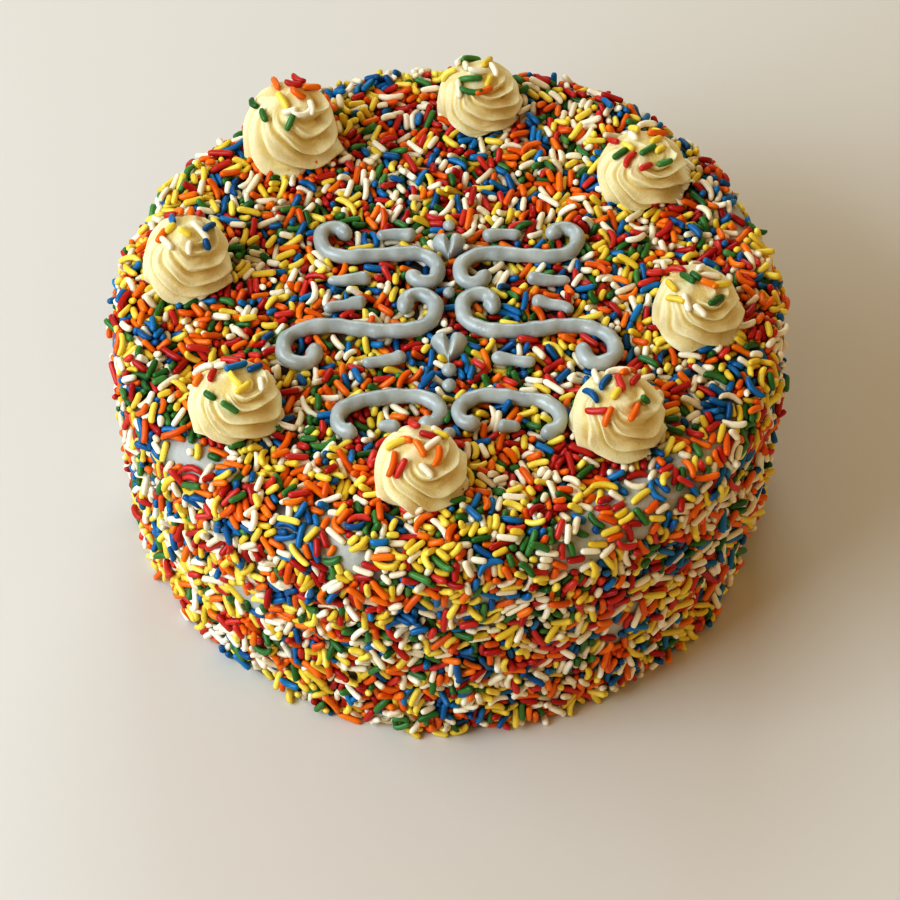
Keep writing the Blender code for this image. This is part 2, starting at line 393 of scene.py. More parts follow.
class Icing(Graph):
    """Grey-blue piped icing, smooth, with a soft gloss."""

    def __init__(self) -> None:
        """Nearly even in colour, its skin faintly uneven."""
        super().__init__("piped_icing")
        tone = self.noise(150.0, 2.0)
        grain = self.noise(900.0, 3.0, 0.5)
        pale = self.ramp(tone, 0.30, 0.70)
        self.dress(
            Base_Color=self.mix(pale, rgb(0.34, 0.37, 0.365), rgb(0.51, 0.545, 0.53)),
            Roughness=0.24 + 0.12 * grain,
            Specular_IOR_Level=0.6,
            Subsurface_Weight=0.08,
            Subsurface_Radius=(0.0015, 0.0016, 0.0018),
            Subsurface_Scale=1.0,
        )
        self.bump(grain + 1.2 * tone, 0.00012)


class Floor(Graph):
    """The pale matt floor, in one even tone, as it isn't part of the cake."""

    def __init__(self) -> None:
        """Sets the shader's own colour."""
        super().__init__("studio_floor")
        self.dress(Base_Color=rgb(0.70, 0.66, 0.615), Roughness=0.6, Specular_IOR_Level=0.3)


# ---- the cake's body ---------------------------------------------------------------
RIM_STEPS = 12


@dataclass(frozen=True)
class CakeShape:
    """The drum under the sprinkles, as deep below their outside as the coat is thick."""

    radius: float
    height: float
    base_lean: float = 4.3 * MM      # how much less the radius is at the base
    rim: float = 9.0 * MM            # rounding of the upper edge
    coat_side: float = 2.5 * MM
    coat_top: float = 3.1 * MM
    oval: float = 0.55               # heights of the side's waves, in millimetres
    trefoil: float = 0.35
    belly: float = 0.45
    starts: tuple = (0.6, -1.1, 0.4)     # where round the cake each of them starts

    @staticmethod
    def of_node(node: str) -> "CakeShape":
        """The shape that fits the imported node's box."""
        low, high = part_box(node)
        return CakeShape(radius=0.25 * (high.x - low.x + high.y - low.y), height=high.z)

    @property
    def top(self) -> float:
        """Height of the frosting's flat top."""
        return self.height - self.coat_top

    def swell(self, angle: Array, z: Array) -> Array:
        """How far the hand-smoothed side stands out of a true cone: two and three
        slow waves round it, and one that is widest half-way up."""
        oval, trefoil, belly = self.starts
        wave = self.oval * np.sin(2 * angle + oval)
        wave = wave + self.trefoil * np.sin(3 * angle + trefoil)
        up = np.clip(z / self.height, 0, 1)
        belly = self.belly * np.sin(angle + belly) * np.sin(math.pi * up)
        return (wave + belly) * MM

    def side(self, angle: Array, z: Array) -> Array:
        """Radius of the frosting's side: it grows as the root of the height."""
        up = np.clip(z / (self.height - self.rim), 0.0, 1.0)
        cone = self.radius - self.coat_side - self.base_lean * (1.0 - np.sqrt(up))
        return cone + self.swell(angle, z)

    def depth(self, points: Array) -> tuple[Array, Array]:
        """How far points are outside the frosting, and the way out.

        The distance is that to a rounded corner: outside both the side and the top,
        measured from the rim's centre line, and elsewhere from the nearer of them.

        Args:
            points: rows of positions.

        Returns:
            Distances, negative inside, and unit normals.
        """
        out = np.hypot(points[:, 0], points[:, 1])
        angle = np.arctan2(points[:, 1], points[:, 0])
        radial = points[:, :2] / np.maximum(out, 1e-9)[:, None]
        side = out - (self.side(angle, points[:, 2]) - self.rim)
        up = points[:, 2] - (self.top - self.rim)
        corner = np.hypot(np.maximum(side, 0.0), np.maximum(up, 0.0))
        distance = corner + np.minimum(np.maximum(side, up), 0.0) - self.rim
        both = (side > 0.0) & (up > 0.0)
        sideways = np.where(both, side / np.maximum(corner, 1e-9), side > up)
        upward = np.where(both, up / np.maximum(corner, 1e-9), side <= up)
        normal = np.concatenate([radial * sideways[:, None], upward[:, None]], axis=1)
        return distance, normal

    def outline(self, count: int) -> tuple[Array, Array]:
        """Evenly spaced (radius, height) points of the frosting's outline, up the
        side, round the rim and in to the middle, and how far along each one is."""
        side = np.array([[0.0, 0.0], [0.0, self.top - self.rim]])
        turn = np.linspace(0.0, math.pi / 2.0, RIM_STEPS)[1:]
        rim = np.stack([self.rim * (np.cos(turn) - 1.0),
                        self.top - self.rim + self.rim * np.sin(turn)], axis=1)
        middle = np.array([[-(self.radius - self.coat_side), self.top]])
        corners = np.concatenate([side, rim, middle])
        run = np.concatenate([[0.0], np.cumsum(np.hypot(*np.diff(corners, axis=0).T))])
        along = np.linspace(0.0, run[-1], count)
        inset = np.interp(along, run, corners[:, 0])
        z = np.interp(along, run, corners[:, 1])
        return np.stack([inset, z], axis=1), along

    def skin(self, angle: Array, inset: Array, z: Array) -> Array:
        """Points of the frosting, from an angle, a distance in from the side, and a
        height."""
        on_side = self.side(angle, np.minimum(z, self.top - self.rim))
        out = on_side * (1.0 + inset / (self.radius - self.coat_side))
        out = np.where(inset < 0.0, np.maximum(on_side + inset, 0.0), out)
        return np.stack([out * np.cos(angle), out * np.sin(angle), z], axis=-1)


@dataclass(frozen=True)
class ThinPatch:
    """A place where few sprinkles stuck and the frosting shows."""

    angle: float                     # round the cake, in degrees
    along: float                     # up the outline from the base, in millimetres
    width: float                     # in millimetres
    bare: float                      # share of the sprinkles that are missing


THIN_PATCHES = (
    # across the front's upper edge
    ThinPatch(-38, 96, 12, 0.70),
    ThinPatch(-54, 91, 12, 0.70),
    ThinPatch(-68, 88, 12, 0.65),
    ThinPatch(-112, 86, 12, 0.60),
    ThinPatch(-140, 92, 11, 0.60),
    # lower down the front
    ThinPatch(-88, 70, 11, 0.55),
    ThinPatch(-20, 62, 12, 0.50),
    ThinPatch(-60, 40, 12, 0.50),
    ThinPatch(-125, 45, 12, 0.50),
    # round the back
    ThinPatch(20, 84, 14, 0.60),
    ThinPatch(75, 60, 14, 0.55),
    ThinPatch(130, 84, 14, 0.55),
    ThinPatch(170, 50, 14, 0.55),
    # broad and slight, on the left
    ThinPatch(-166, 44, 42, 0.20),
    ThinPatch(-122, 34, 26, 0.16),
)


def thin_share(angle: Array, along: Array, radius: float) -> Array:
    """The share of the sprinkles that is missing at each place: every patch takes
    its own share off what the others left, fading like a bell curve from its middle.

    Args:
        angle: round the cake.
        along: up the outline from the base.
        radius: of the cake.

    Returns:
        Shares between 0 and 1.
    """
    stays = np.ones(np.shape(angle))
    for patch in THIN_PATCHES:
        turn = (angle - math.radians(patch.angle) + math.pi) % TAU - math.pi
        away = np.hypot(turn * radius, along - patch.along * MM) / (patch.width * MM)
        stays *= 1.0 - patch.bare * np.exp(-(away**2))
    return 1.0 - stays


@dataclass(frozen=True)
class FrostedBody:
    """The frosting that shows between the sprinkles, and the cake's flat base."""

    shape: CakeShape
    columns: int = 240
    rows: int = 120
    dent: float = 0.16 * MM
    # each wave of dents: its number round, and its turns up, start and height
    dents: tuple = ((7, 90, 0.0, 1.0), (11, -140, 1.0, 1.0), (23, 260, 2.0, 0.7))
    base_ring: float = 0.6           # radius of a ring in the base, as a share

    def build(self) -> Piece:
        """The outline carried round the cake, with small dents in its skin: the sum
        of waves that run round and up it. The base is closed by rings to its middle."""
        outline, along = self.shape.outline(self.rows)
        turn, inset = np.meshgrid(around(self.columns), outline[:-1, 0])
        run = np.broadcast_to(along[:-1, None], turn.shape)
        bare = thin_share(turn, run, self.shape.radius)
        z = np.broadcast_to(outline[:-1, 1:], turn.shape)
        rings = self.shape.skin(turn, inset, z)
        dent = sum(height * np.sin(count * turn + tilt * z + start)
                   for count, tilt, start, height in self.dents)
        _, normal = self.shape.depth(rings.reshape(-1, 3))
        push = (self.dent * dent).ravel()[:, None] * normal
        rings = (rings.reshape(-1, 3) + push).reshape(rings.shape)
        rings[0, :, 2] = 0.0
        base = rings[:1] * np.array([self.base_ring, self.base_ring, 0.0])
        body = Shell(np.concatenate([base, rings]), np.zeros(3), np.array([0, 0, self.shape.top]))
        none = np.zeros(self.columns + 1)
        bare = np.concatenate([none, bare.ravel(), none[:1]])
        return body.piece("frosting", Frosting().material, "sprinkle_coat", "cake", bare=bare)


# ---- sprinkles -----------------------------------------------------------------------
@dataclass
class RodPile:
    """Straight rods with round ends, held as pairs of end points, which settle onto
    the frosting and push one another apart.

    Each pass moves the ends a little and then puts right what is wrong: rods that
    overlap, ends inside the frosting or under the floor, and rods off their length.
    """

    shape: CakeShape
    first: Array
    last: Array
    radius: Array
    sink: float = 0.45 * MM          # how far a rod presses into the frosting
    pull: float = 0.14 * MM          # towards the frosting, in the first pass
    reach: float = 1.2 * MM          # spare distance of the rods that are watched
    regroup: int = 8                 # passes between two searches for such rods
    share: float = 0.9               # of the whole correction, for each pass
    crowd: float = 0.6               # how much less a rod moves for each it touches

    def __post_init__(self) -> None:
        """Keeps the rods' lengths."""
        self.length = np.linalg.norm(self.last - self.first, axis=1)

    def pairs(self) -> tuple[Array, Array]:
        """The numbers of the rods in each pair that is close enough to touch, from a
        grid of cells over their middles."""
        middle = 0.5 * (self.first + self.last)
        size = self.length.max() + 2.0 * self.radius.max() + self.reach
        cell = np.floor((middle - middle.min(axis=0)) / size).astype(np.int64) + 1
        span = cell.max(axis=0) + 2
        key = (cell[:, 0] * span[1] + cell[:, 1]) * span[2] + cell[:, 2]
        order = np.argsort(key, kind="stable")
        ranked = key[order]
        found = []
        for dx, dy, dz in itertools.product((-1, 0, 1), repeat=3):
            step = (dx * span[1] + dy) * span[2] + dz
            if step < 0:
                continue
            left = np.searchsorted(ranked, ranked + step, "left")
            count = np.searchsorted(ranked, ranked + step, "right") - left
            one = np.repeat(np.arange(len(ranked)), count)
            offset = np.arange(count.sum()) - np.repeat(np.cumsum(count) - count, count)
            two = np.repeat(left, count) + offset
            keep = one < two if step == 0 else slice(None)
            found.append(np.stack([order[one[keep]], order[two[keep]]]))
        one, two = np.concatenate(found, axis=1)
        apart = np.linalg.norm(middle[one] - middle[two], axis=1)
        touch = 0.5 * (self.length[one] + self.length[two])
        near = apart < touch + self.radius[one] + self.radius[two] + self.reach
        return one[near], two[near]

    def contacts(self, one: Array, two: Array) -> tuple[Array, ...]:
        """Where the rods of each pair come nearest.

        Args:
            one: numbers of the first rods.
            two: numbers of the second rods.

        Returns:
            The shares along the first and second rods, the unit vector from the
            second to the first, and by how much they overlap.
        """
        start, other = self.first[one], self.first[two]
        along, beside = self.last[one] - start, self.last[two] - other
        gap = start - other
        a = np.einsum("ij,ij->i", along, along)
        e = np.einsum("ij,ij->i", beside, beside)
        b = np.einsum("ij,ij->i", along, beside)
        c = np.einsum("ij,ij->i", along, gap)
        f = np.einsum("ij,ij->i", beside, gap)
        room = a * e - b * b
        slanted = room > 1e-3 * a * e
        s = np.where(slanted, (b * f - c * e) / np.where(slanted, room, 1.0), 0.5)
        s = np.clip(s, 0.0, 1.0)
        t = np.clip((b * s + f) / e, 0.0, 1.0)
        s = np.clip((b * t - c) / a, 0.0, 1.0)
        push = gap + along * s[:, None] - beside * t[:, None]
        apart = np.linalg.norm(push, axis=1)
        overlap = self.radius[one] + self.radius[two] - apart
        return s, t, push / np.maximum(apart, 1e-9)[:, None], overlap

    def separate(self, one: Array, two: Array) -> float:
        """Moves overlapping rods apart by a share of what would free them.

        Args:
            one: numbers of the first rods.
            two: numbers of the second rods.

        Returns:
            The greatest overlap before the move.
        """
        s, t, way, overlap = self.contacts(one, two)
        hit = overlap > 0.0
        if not hit.any():
            return 0.0
        one, two, s, t, way = one[hit], two[hit], s[hit], t[hit], way[hit]
        weight = (1 - s) ** 2 + s**2 + (1 - t) ** 2 + t**2
        move = (overlap[hit] / weight)[:, None] * way
        count = len(self.radius)
        meets = np.bincount(one, minlength=count) + np.bincount(two, minlength=count)
        scale = self.share / np.maximum(meets, 1) ** self.crowd
        for ends, here, there in ((self.first, 1 - s, 1 - t), (self.last, s, t)):
            for axis in range(3):
                gain = np.bincount(one, move[:, axis] * here, count)
                loss = np.bincount(two, move[:, axis] * there, count)
                ends[:, axis] += (gain - loss) * scale
        return float(overlap.max())

    def seat(self, pull: float) -> None:
        """Draws the ends towards the frosting, then keeps them out of it and off
        the floor, and puts each rod back to its length."""
        for ends in (self.first, self.last):
            distance, normal = self.shape.depth(ends)
            rest = self.radius - self.sink
            drop = np.clip(distance - rest, 0.0, pull)
            lift = np.maximum(rest - distance, 0.0)
            ends += normal * (lift - drop)[:, None]
            ends[:, 2] = np.maximum(ends[:, 2], self.radius)
        middle = 0.5 * (self.first + self.last)
        half = 0.5 * self.length[:, None] * unit(self.last - self.first)
        self.first, self.last = middle - half, middle + half

    def settle(self, passes: int) -> None:
        """Runs the passes: a pull that fades, and none over the last third."""
        for step in range(passes):
            if step % self.regroup == 0:
                one, two = self.pairs()
            fade = max(0.0, 1.0 - 1.5 * step / passes)
            self.seat(self.pull * fade)
            worst = self.separate(one, two)
        LOG.info("settled %d rods: greatest overlap %.2f mm", len(self.radius), worst / MM)


@dataclass(frozen=True)
class Sprinkle:
    """The form of one sprinkle: a bent sugar rod with blunt ends.

    Rings of points stand across its axis. Their places are shares of the straight
    half-length, then radii beyond it, and the last column is the ring's own size.
    """

    sides: int = 7
    rings: tuple = (
        (-1.0, -0.62, 0.74), (-0.92, 0.0, 1.0), (-0.33, 0.0, 1.02),
        (0.33, 0.0, 1.02), (0.92, 0.0, 1.0), (1.0, 0.62, 0.74),
    )
    blunt: float = 0.90              # how far an end reaches, in radii

    @property
    def points(self) -> int:
        """How many points one sprinkle has."""
        return self.sides * len(self.rings) + 2

    def build(self, first: Array, last: Array, radius: Array,
              bend: Array, bend_way: Array) -> Array:
        """Points of every sprinkle at once: circles across a line that bows by a
        parabola, full in the middle and nothing at the ends.

        Args:
            first: one end of each rod's straight axis.
            last: the other end.
            radius: each rod's radius.
            bend: how far each rod's middle bows out.
            bend_way: the unit vector that it bows along.

        Returns:
            An array of sprinkle by point by axis.
        """
        rings = np.array(self.rings)
        middle = 0.5 * (first + last)
        along = unit(last - first)
        half = 0.5 * np.linalg.norm(last - first, axis=1)
        across = np.cross(along, bend_way)
        reach = half[:, None] * rings[:, 0] + radius[:, None] * rings[:, 1]
        tip = half + self.blunt * radius
        bow = bend[:, None] * (0.6 - (reach / tip[:, None]) ** 2)
        turn = around(self.sides)
        size = radius[:, None] * rings[:, 2]
        line = middle[:, None] + reach[..., None] * along[:, None]
        line = line + bow[..., None] * bend_way[:, None]
        circle = (np.cos(turn)[:, None] * bend_way[:, None, None]
                  + np.sin(turn)[:, None] * across[:, None, None])
        body = line[:, :, None] + size[:, :, None, None] * circle
        drop = (-0.4 * bend)[:, None] * bend_way
        low = middle - tip[:, None] * along + drop
        high = middle + tip[:, None] * along + drop
        flat = body.reshape(len(first), -1, 3)
        return np.concatenate([low[:, None], flat, high[:, None]], axis=1)

    def faces(self, count: int) -> tuple[Array, Array]:
        """Faces of this many sprinkles whose points follow one another."""
        triangles, quads = shell_faces(len(self.rings), self.sides)
        step = (np.arange(count) * self.points)[:, None, None]
        return (triangles[None] + step).reshape(-1, 3), (quads[None] + step).reshape(-1, 4)


@dataclass
class SprinkleCoat:
    """All the sprinkles: those pressed onto the cake, and those on the rosettes."""

    shape: CakeShape
    rosettes: list
    icing: list                      # points along the middle of each piped line
    seed: int = 11
    clumps: int = 170                # groups of one colour
    side_count: int = 5600
    top_count: int = 4700
    radius: float = 1.06 * MM
    passes: int = 140
    quick_passes: int = 30
    icing_clearance: float = 2.2 * MM
    foot_margin: float = 4.6 * MM    # how far a rosette reaches past what it hides
    lowest: float = 0.8 * MM         # of the sprinkles thrown at the side
    side_lift: float = 2.0           # how high sprinkles are thrown, in millimetres
    top_lift: float = 3.6
    lengths: tuple = (5.7, 1.45, 2.7, 8.6)   # mean, spread, least and most, in mm
    steep_share: float = 0.40        # of the sprinkles, which stand more on end
    steepness: tuple = (0.95, 0.25)  # of those and of the others
    bent_share: float = 0.42
    bent: tuple = (0.35, 1.1)        # how far the bent ones bow, in millimetres
    straight: tuple = (0.0, 0.25)    # and the others
    gather: float = 0.85             # share of a clump that takes its colour
    clump_size: tuple = (3, 6)       # from this many, to less than this many
    radii: tuple = (0.93, 1.07)      # least and most, as shares of the radius
    full_bend: float = 4.2 * MM      # length of a sprinkle that bows in full
    rows: int = 600                  # points along the outline that they are thrown at
    probes: int = 5                  # places along each that must be clear of icing

    def __post_init__(self) -> None:
        """Starts the random draws."""
        self.random = np.random.default_rng(self.seed)

    def scatter(self, count: int, low: float, high: float) -> tuple[Array, Array]:
        """Places for this many sprinkles on a stretch of the outline, as many to
        each area, less those that the thin patches lack.

        Args:
            count: how many are thrown.
            low: where the stretch starts, along the outline.
            high: where it ends.

        Returns:
            Points on the frosting, and the unit normals there.
        """
        outline, along = self.shape.outline(self.rows)
        out = self.shape.radius - self.shape.coat_side + outline[:, 0]
        weight = np.where((along >= low) & (along <= high), np.maximum(out, 0.0), 0.0)
        share = np.cumsum(weight) / weight.sum()
        run = np.interp(self.random.uniform(size=count), share, along)
        angle = self.random.uniform(-math.pi, math.pi, count)
        missing = thin_share(angle, run, self.shape.radius)
        keep = self.random.uniform(size=count) < 1.0 - missing
        angle, run = angle[keep], run[keep]
        inset = np.interp(run, along, outline[:, 0])
        z = np.interp(run, along, outline[:, 1])
        points = self.shape.skin(angle, inset, z)
        _, normal = self.shape.depth(points)
        return points, normal

    def throw(self) -> RodPile:
        """The sprinkles as they are thrown: above the frosting, any way round."""
        _, along = self.shape.outline(2)
        edge = self.shape.top - 0.3 * self.shape.rim
        side, side_normal = self.scatter(self.side_count, self.lowest, edge)
        top, top_normal = self.scatter(self.top_count, edge, along[-1])
        points = np.concatenate([side, top])
        normal = np.concatenate([side_normal, top_normal])
        lift = np.concatenate([self.random.uniform(0.0, self.side_lift, len(side)),
                               self.random.uniform(0.0, self.top_lift, len(top))]) * MM
        count = len(points)
        any_way = unit(self.random.normal(size=(count, 3)))
        flat = unit(any_way - np.einsum("ij,ij->i", any_way, normal)[:, None] * normal)
        steep = np.abs(self.random.normal(0.0, 1.0, count))
        on_end = self.random.uniform(size=count) < self.steep_share
        steep = (steep * np.where(on_end, *self.steepness))[:, None]
        along_axis = unit(flat + steep * normal)
        mean, spread, least, most = self.lengths
        whole = np.clip(self.random.normal(mean, spread, count), least, most) * MM
        radius = self.radius * self.random.uniform(*self.radii, count)
        half = (0.5 * whole - 0.9 * radius)[:, None]
        middle = points + normal * (radius + lift)[:, None]
        return RodPile(self.shape, middle - half * along_axis, middle + half * along_axis, radius)

    def covered(self, pile: RodPile) -> Array:
        """Which rods lie wholly under a rosette's foot, or run into piped icing."""
        middle = 0.5 * (pile.first + pile.last)
        hidden = np.zeros(len(middle), bool)
        for rosette in self.rosettes:
            away = np.hypot(middle[:, 0] - rosette.x, middle[:, 1] - rosette.y)
            low = middle[:, 2] > self.shape.top - 1.0 * MM
            hidden |= (away < 0.5 * rosette.width - self.foot_margin) & low
        for share in np.linspace(0.0, 1.0, self.probes):
            spot = pile.first + share * (pile.last - pile.first)
            near = np.nonzero(spot[:, 2] > self.shape.top)[0]
            for line in self.icing:
                gap = np.linalg.norm(spot[near, None, :] - line[None], axis=2).min(axis=1)
                hidden[near[gap < self.icing_clearance]] = True
        return hidden

    def colours(self, middle: Array) -> Array:
        """A colour number for each sprinkle: drawn by share, and then, round a few
        seeds, the nearest ones take the seed's colour, so that like colours gather.

        Args:
            middle: the sprinkles' middles.

        Returns:
            Positions in SugarColour.
        """
        shares = np.array([colour.share for colour in SugarColour])
        picked = self.random.choice(len(shares), len(middle), p=shares / shares.sum())
        for seed in self.random.choice(len(middle), self.clumps, replace=False):
            away = np.linalg.norm(middle - middle[seed], axis=1)
            size = self.random.integers(*self.clump_size)
            near = np.argpartition(away, size)[:size]
            picked[near[self.random.uniform(size=size) < self.gather]] = picked[seed]
        return picked

    def build(self) -> None:
        """Settles the coat, adds the sprinkles on the rosettes, and makes one piece
        of each colour."""
        pile = self.throw()
        pile.settle(self.passes)
        kept = ~self.covered(pile)
        first, last, radius = pile.first[kept], pile.last[kept], pile.radius[kept]
        _, normal = self.shape.depth(0.5 * (first + last))
        rods = [(first, last, normal, radius)]
        for rosette in self.rosettes:
            ends, out = rosette.toppings(self.random, self.radius)
            rods.append((ends[:, 0], ends[:, 1], out, np.full(len(ends), self.radius)))
        first, last, normal, radius = (np.concatenate(rows) for rows in zip(*rods))
        middle = 0.5 * (first + last)
        count = len(first)
        along = unit(last - first)
        bend_way = unit(np.cross(along, unit(normal + 0.5 * self.random.normal(size=(count, 3)))))
        bent = self.random.uniform(size=count) < self.bent_share
        bend = np.where(bent, self.random.uniform(*self.bent, count),
                        self.random.uniform(*self.straight, count)) * MM
        reach = np.linalg.norm(last - first, axis=1) / self.full_bend
        bend = bend * np.clip(reach, 0.3, 1.4) ** 2
        form = Sprinkle()
        points = form.build(first, last, radius, bend, bend_way)
        points[..., 2] += np.maximum(0.0, -points[..., 2].min(axis=1))[:, None]
        shade = self.random.uniform(size=count)
        picked = self.colours(middle)
        for number, colour in enumerate(SugarColour):
            mine = picked == number
            faces = form.faces(int(mine.sum()))
            values = {"shade": np.repeat(shade[mine], form.points)}
            name = f"sprinkles_{colour.name.lower()}"
            piece = make_piece(name, points[mine].reshape(-1, 3), *faces, values)
            finish_piece(piece, Sugar(colour).material, "sprinkle_coat")


# ---- rosettes ------------------------------------------------------------------------
BEND, FOLD, DEPTH, LOBE, TIP, CORNER = range(6)     # what each set of slow waves is for


@dataclass
class Rosette:
    """A swirl of buttercream piped through a star tip, with sprinkles on it."""

    number: int
    ridges: int                      # crests round the foot
    turns: float                     # how far the crests wind on their way up
    seam: float                      # the side where the crests lie flattest, degrees
    phase: float                     # makes each swirl its own
    sprinkles: int = 12
    spread: float = 0.74             # how far out they lie, as a share of the radius
    columns: int = 240
    rows: int = 140
    tuck: float = math.radians(20.0)
    fullness: float = 0.62           # power of the dome's outline: less is squarer
    dome: float = 0.90               # its height, as a share of the swirl's
    relief: float = 0.17             # of the radius, crest to valley
    seam_power: float = 1.3          # how narrow the seam's side is
    gather: float = 0.50             # how much the crests crowd on that side
    level: float = 0.72              # how much flatter they lie there
    waver: float = 1.25              # how far slow waves bend them
    foot_edge: float = 0.75          # how sharp they are at the foot
    depths: tuple = (0.32, 1.50, 0.30)   # of the folds: anywhere, by the seam, in waves
    lobes: float = 1.2               # how much deeper the crests are at the foot
    corner: float = 1.7              # how much further a fin's corner stands out
    corner_width: float = 0.26
    lip: float = 0.45                # how far past the seam the corners are
    crown: tuple = (0.66, 0.22)      # where the broad folds start, and over what rise
    nib: tuple = (0.07, 0.16)        # height and radius of the tip, as shares
    lean: float = 0.14               # how far the peak leans, in radii
    crest_power: float = 0.8         # of the plain crests: less is fuller
    fin_power: float = 1.3           # of the fins
    base: float = 0.55               # which height of crest lies on the dome itself
    lip_wander: float = 0.35         # how far the corners stray, in radians
    broad: tuple = (3.0, 5.0, 0.75)  # number of broad folds, their winding and depth
    grooves: tuple = (0.05, 0.09)    # depth of fine ones: anywhere, and by the seam
    sunk: float = 1.2 * MM           # how far the foot sits down among the sprinkles
    splay: float = 0.8               # how far out of the swirl its sprinkles push
    perch: float = 0.80              # how high a sprinkle's axis lies, in its radii
    fit_grid: tuple = (121, 61)      # points on which the skin is measured
    fit_rounds: int = 4
    tries: int = 5                   # places from which each sprinkle's is chosen
    spans: int = 9                   # heights taken along a sprinkle
    lengths: tuple = (6.3, 1.2, 4.0, 8.5)    # mean, spread, least and most, in mm

    def __post_init__(self) -> None:
        """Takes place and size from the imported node's box, which the skin fills: it is
        measured and scaled a few times, because its folds grow with it."""
        low, high = (np.array(corner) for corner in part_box(f"rosette_{self.number}"))
        self.x = self.y = self.foot = 0.0
        self.width, self.height = high[0] - low[0], high[2] - low[2]
        columns, rows = self.fit_grid
        turn, rise = np.linspace(0.0, TAU, columns)[:-1], np.linspace(0.0, 1.0, rows)[:-1]
        grid = np.meshgrid(turn, rise)
        for _ in range(self.fit_rounds):
            points = self.skin(*grid)[0].reshape(-1, 3)
            size = np.ptp(points, axis=0)
            self.width *= (high - low)[:2].sum() / size[:2].sum()
            self.height *= (high - low)[2] / size[2]
        points = self.skin(*grid)[0].reshape(-1, 3)
        middle = 0.5 * (points.min(axis=0) + points.max(axis=0))
        self.x, self.y = (0.5 * (low + high) - middle)[:2]
        self.foot = low[2]

    def skin(self, angle: Array, up: Array) -> tuple[Array, Array]:
        """Points of the swirl: a dome tucked in at its foot, with folds that stand
        out of it, and a small tip that leans.

        Args:
            angle: round the swirl.
            up: from 0 at the foot to 1 at the peak.

        Returns:
            Points, and how near each one is to a crest, from 0 to 1.
        """
        radius = 0.5 * self.width
        rise = -self.tuck + (math.pi / 2.0 + self.tuck) * up
        out = radius * np.maximum(np.cos(rise), 0.0) ** self.fullness
        body = self.dome * self.height
        z = body * (np.sin(rise) + math.sin(self.tuck)) / (1.0 + math.sin(self.tuck))
        crest, height = self.folds(angle, up)
        relief = self.relief * radius * height * (out / radius) ** 0.7
        tip_height, tip_radius = self.nib
        nib = np.exp(-((out / (tip_radius * radius)) ** 1.5))
        out = np.maximum(out + relief * np.cos(rise), 0.0)
        z = np.maximum(z + 0.8 * relief * np.sin(rise), 0.0) + tip_height * self.height * nib
        lean = radius * self.lean * (z / self.height) ** 3
        way = self.phase * 1.7
        across = out * np.cos(angle) + lean * math.cos(way)
        along = out * np.sin(angle) + lean * math.sin(way)
        points = np.stack([across, along, z], axis=-1)
        return points + np.array([self.x, self.y, self.foot]), crest

    def folds(self, angle: Array, up: Array) -> tuple[Array, Array]:
        """The swirl's folds, as crests along lines of equal phase, which wind down it.

        They are steep and faint on the side away from the seam, and nearly level on
        the seam's side, where they lie one on another as thin fins. Each fin comes to
        a corner there, at a place of its own. At the foot the crests spread into
        lobes, and over the crown they give way to a few broad folds, so that nothing
        is pinched at the peak. Slow waves bend the lines and vary their depth.

        Args:
            angle: round the swirl.
            up: from 0 at the foot to 1 at the peak.

        Returns:
            How near each place is to a crest, and how far it stands out of the dome.
        """
        from_seam = angle - math.radians(self.seam)
        seam_side = (0.5 + 0.5 * np.cos(from_seam)) ** self.seam_power
        bend = self.waves(angle, up, FOLD)
        phase = self.ridges * (angle - self.gather * np.sin(from_seam))
        phase = phase + TAU * self.turns * up**0.9 * (1.0 + self.level * np.cos(from_seam))
        phase = phase + self.waver * self.waves(angle, up, BEND)
        plain = 0.5 + 0.5 * np.cos(phase - 0.45 * np.sin(phase) + 0.55 * np.cos(phase))
        plain = plain**self.crest_power
        fin = 1.0 - np.arccos(0.985 * np.cos(phase + 0.35 * np.cos(phase))) / math.pi
        sharp = np.maximum(seam_side, self.foot_edge * (1.0 - up) ** 4)
        crest = plain + (fin**self.fin_power - plain) * sharp
        anywhere, by_seam, waved = self.depths
        depth = anywhere * (1.0 - 0.5 * up) + by_seam * seam_side
        depth = depth + waved * self.waves(angle, up, DEPTH)
        depth = depth + self.lobes * (1.0 - up) ** 5 * (1.0 + 0.5 * self.waves(angle, up, LOBE))
        tip = self.lip + self.lip_wander * self.waves(0.0 * angle, up, TIP)
        turn = np.abs((from_seam - tip + math.pi) % TAU - math.pi)
        corner = self.corner * np.exp(-turn / self.corner_width)
        depth = depth + corner * (1.0 + 0.5 * self.waves(angle, up, CORNER))
        count, winding, broad = self.broad
        fold = 0.5 + 0.5 * np.cos(count * angle - winding * up + self.phase + 0.5 * bend)
        start, rise = self.crown
        crown = np.clip((up - start) / rise, 0.0, 1.0)
        crown = crown * crown * (3.0 - 2.0 * crown)
        crest = crest + (fold**1.5 - crest) * crown
        height = (crest - self.base) * (depth + (broad - depth) * crown)
        fine = np.cos(2.0 * phase + 1.3 + 1.6 * bend) * (1.0 - crown)
        anywhere, by_seam = self.grooves
        return crest, height + (anywhere + by_seam * seam_side) * fine

    def waves(self, angle: Array, up: Array, draw: int) -> Array:
        """Slow waves over the swirl, about 1 high: whole numbers of them round it, so
        that they close, each with its own tilt and start.

        Args:
            angle: round the swirl.
            up: from the foot to the peak.
            draw: which set of waves, from BEND to CORNER.

        Returns:
            Their sum.
        """
        total = 0.0 * angle
        for count in (1, 2, 3, 4, 5, 7):
            start = self.phase * (count + 2.0) ** 2 + 1.9 * draw * count
            tilt = 9.0 * math.sin(2.3 * self.phase + 1.7 * count + draw)
            total = total + np.sin(count * angle + tilt * up + start) / math.sqrt(count)
        return 0.7 * total

